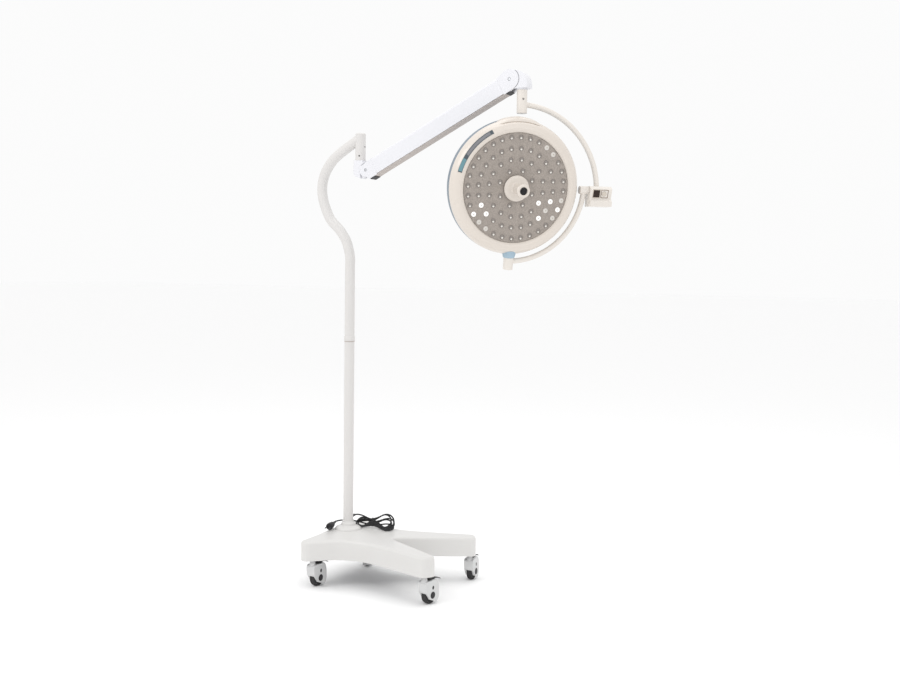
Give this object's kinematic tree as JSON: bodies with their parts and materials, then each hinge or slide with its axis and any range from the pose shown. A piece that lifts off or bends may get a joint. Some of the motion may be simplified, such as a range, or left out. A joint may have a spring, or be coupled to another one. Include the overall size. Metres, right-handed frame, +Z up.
{
  "type": "mobile surgical light",
  "caption": "Mobile surgical light: round LED lamp in a two-arc gimbal on a spring arm, bent column and legged base with braked casters.",
  "frame": {"origin": "middle of the footprint on the floor, without the cord", "axes": "+X the way the arm and the long legs point, +Y across the base, +Z up"},
  "size_m": [1.1642, 0.516, 1.9744],
  "materials": {
    "shell_white": "smooth moulded plastic, slightly glossy",
    "post_white": "satin powder coat",
    "arm_white": "satin powder coat",
    "yoke_cream": "satin enamel",
    "box_cream": "satin moulded plastic",
    "rim_cream": "smooth gloss",
    "back_blue_grey": "satin",
    "pale_blue": "satin",
    "lens_taupe": "clear moulded lenses in a taupe plate, gloss",
    "strip_grey": "matte",
    "dark_plastic": "matte",
    "caster_grey": "satin nylon",
    "tyre_dark": "matte rubber",
    "display_brown": "dark tinted window, gloss",
    "cast_iron": "rough casting",
    "steel": "machined",
    "board_alu": "white coated",
    "strip_teal": "printed film without lettering",
    "cord_black": "flexible sheath, satin"
  },
  "bodies": {
    "base": {"base_shell": "shell_white", "base_frame": "cast_iron", "column_flange": "post_white", "column_lower": "post_white", "column_upper": "post_white", "socket_sleeve": "post_white", "socket_screw_1": "dark_plastic", "socket_screw_2": "dark_plastic", "cord_gland": "dark_plastic", "cord_hank": "cord_black", "mains_cord_column": "cord_black", "mains_plug": "cord_black", "mains_cord_plug": "cord_black"},
    "caster_1": {"caster_1_fork": "caster_grey", "caster_1_axle": "dark_plastic"},
    "caster_1_wheel": {"caster_1_wheel": "tyre_dark"},
    "caster_1_pedal": {"caster_1_pedal": "dark_plastic"},
    "caster_2": {"caster_2_fork": "caster_grey", "caster_2_axle": "dark_plastic"},
    "caster_2_wheel": {"caster_2_wheel": "tyre_dark"},
    "caster_2_pedal": {"caster_2_pedal": "dark_plastic"},
    "caster_3": {"caster_3_fork": "caster_grey", "caster_3_axle": "dark_plastic"},
    "caster_3_wheel": {"caster_3_wheel": "tyre_dark"},
    "caster_3_pedal": {"caster_3_pedal": "dark_plastic"},
    "caster_4": {"caster_4_fork": "caster_grey", "caster_4_axle": "dark_plastic"},
    "caster_4_wheel": {"caster_4_wheel": "tyre_dark"},
    "caster_4_pedal": {"caster_4_pedal": "dark_plastic"},
    "arm_base": {"knuckle": "post_white", "swivel_spindle": "steel"},
    "arm": {"arm_beam": "arm_white", "arm_under_cover": "strip_grey", "arm_lower_fork": "arm_white", "arm_upper_fork": "arm_white", "arm_pivot_pin_lower": "steel", "arm_pivot_pin_upper": "steel", "balance_spring": "steel", "arm_cap_lower": "dark_plastic", "arm_cap_upper": "dark_plastic"},
    "link": {"parallel_link": "steel"},
    "head": {"head_housing": "arm_white", "yoke_spindle": "steel"},
    "yoke": {"yoke_sleeve": "yoke_cream", "upper_arc": "yoke_cream", "control_box": "box_cream", "display_window": "display_brown", "roll_shaft": "steel"},
    "button": {"panel_button": "pale_blue"},
    "lower_yoke": {"roll_hub": "yoke_cream", "lower_arc": "yoke_cream", "bottom_sleeve": "yoke_cream"},
    "lamp": {"lamp_coupling": "pale_blue", "rim_ring": "rim_cream", "back_shell": "back_blue_grey", "lens_plate": "lens_taupe", "led_board": "board_alu", "handle_socket": "steel", "trim_strip": "strip_teal"},
    "handle": {"handle_grip": "rim_cream"}
  },
  "joints": [
    {"name": "caster_1_swivel", "type": "hinge", "parent": "base", "child": "caster_1", "pos_m": [0.03086, -0.20354, 0.108], "axis": [0, 0, 1], "continuous": true},
    {"name": "caster_1_roll", "type": "hinge", "parent": "caster_1", "child": "caster_1_wheel", "pos_m": [0.03524, -0.17589, 0.034], "axis": [-0.9877, 0.1564, 0], "continuous": true},
    {"name": "caster_1_brake", "type": "hinge", "parent": "caster_1", "child": "caster_1_pedal", "pos_m": [0.03868, -0.15416, 0.0925], "axis": [-0.9877, 0.1564, 0], "range_deg": [0, 8]},
    {"name": "caster_2_swivel", "type": "hinge", "parent": "base", "child": "caster_2", "pos_m": [0.03086, 0.17046, 0.108], "axis": [0, 0, 1], "continuous": true},
    {"name": "caster_2_roll", "type": "hinge", "parent": "caster_2", "child": "caster_2_wheel", "pos_m": [0.02697, 0.19818, 0.034], "axis": [-0.9903, -0.1392, 0], "continuous": true},
    {"name": "caster_2_brake", "type": "hinge", "parent": "caster_2", "child": "caster_2_pedal", "pos_m": [0.0239, 0.21997, 0.0925], "axis": [-0.9903, -0.1392, 0], "range_deg": [0, 8]},
    {"name": "caster_3_swivel", "type": "hinge", "parent": "base", "child": "caster_3", "pos_m": [-0.45914, -0.22054, 0.108], "axis": [0, 0, 1], "continuous": true},
    {"name": "caster_3_roll", "type": "hinge", "parent": "caster_3", "child": "caster_3_wheel", "pos_m": [-0.45718, -0.19261, 0.034], "axis": [-0.9976, 0.0698, 0], "continuous": true},
    {"name": "caster_3_brake", "type": "hinge", "parent": "caster_3", "child": "caster_3_pedal", "pos_m": [-0.45565, -0.17067, 0.0925], "axis": [-0.9976, 0.0698, 0], "range_deg": [0, 8]},
    {"name": "caster_4_swivel", "type": "hinge", "parent": "base", "child": "caster_4", "pos_m": [-0.45914, 0.18746, 0.108], "axis": [0, 0, 1], "continuous": true},
    {"name": "caster_4_roll", "type": "hinge", "parent": "caster_4", "child": "caster_4_wheel", "pos_m": [-0.44514, 0.16321, 0.034], "axis": [0.866, 0.5, 0], "continuous": true},
    {"name": "caster_4_brake", "type": "hinge", "parent": "caster_4", "child": "caster_4_pedal", "pos_m": [-0.43414, 0.14416, 0.0925], "axis": [0.866, 0.5, 0], "range_deg": [0, 8]},
    {"name": "arm_swivel", "type": "hinge", "parent": "base", "child": "arm_base", "pos_m": [-0.38214, -0.01654, 1.668], "axis": [0, 0, 1], "range_deg": [-135, 135]},
    {"name": "arm_pitch", "type": "hinge", "parent": "arm_base", "child": "arm", "pos_m": [-0.34314, -0.01654, 1.629], "axis": [0, -1, 0], "range_deg": [-60, 10]},
    {"name": "link_pitch", "type": "hinge", "parent": "arm_base", "child": "link", "pos_m": [-0.34314, -0.01654, 1.607], "axis": [0, -1, 0], "range_deg": [-60, 10]},
    {"name": "head_level", "type": "hinge", "parent": "arm", "child": "head", "pos_m": [0.26686, -0.01654, 1.9375], "axis": [0, -1, 0], "range_deg": [-10, 60]},
    {"name": "yoke_swivel", "type": "hinge", "parent": "head", "child": "yoke", "pos_m": [0.30786, -0.01654, 1.898], "axis": [0, 0, 1], "range_deg": [-170, 170]},
    {"name": "yoke_roll", "type": "hinge", "parent": "yoke", "child": "lower_yoke", "pos_m": [0.30786, -0.01654, 1.547], "axis": [0.7242, 0.6896, 0], "range_deg": [-100, 100]},
    {"name": "lamp_tilt", "type": "hinge", "parent": "lower_yoke", "child": "lamp", "pos_m": [0.29048, -0.03309, 1.547], "axis": [0.1316, -0.1382, 0.9816], "range_deg": [-135, 135]},
    {"name": "handle_pull", "type": "slide", "parent": "lamp", "child": "handle", "axis": [0.6769, -0.7109, -0.1908], "range_m": [0, 0.09]},
    {"name": "button_press", "type": "slide", "parent": "yoke", "child": "button", "axis": [-0.6542, 0.687, 0.3162], "range_m": [0, 0.0015], "stiffness_N_per_m": 400, "springref_m": -0.0008}
  ],
  "couplings": [
    {"joint": "link_pitch", "follows": "arm_pitch", "ratio": 1},
    {"joint": "head_level", "follows": "arm_pitch", "ratio": -1}
  ]
}
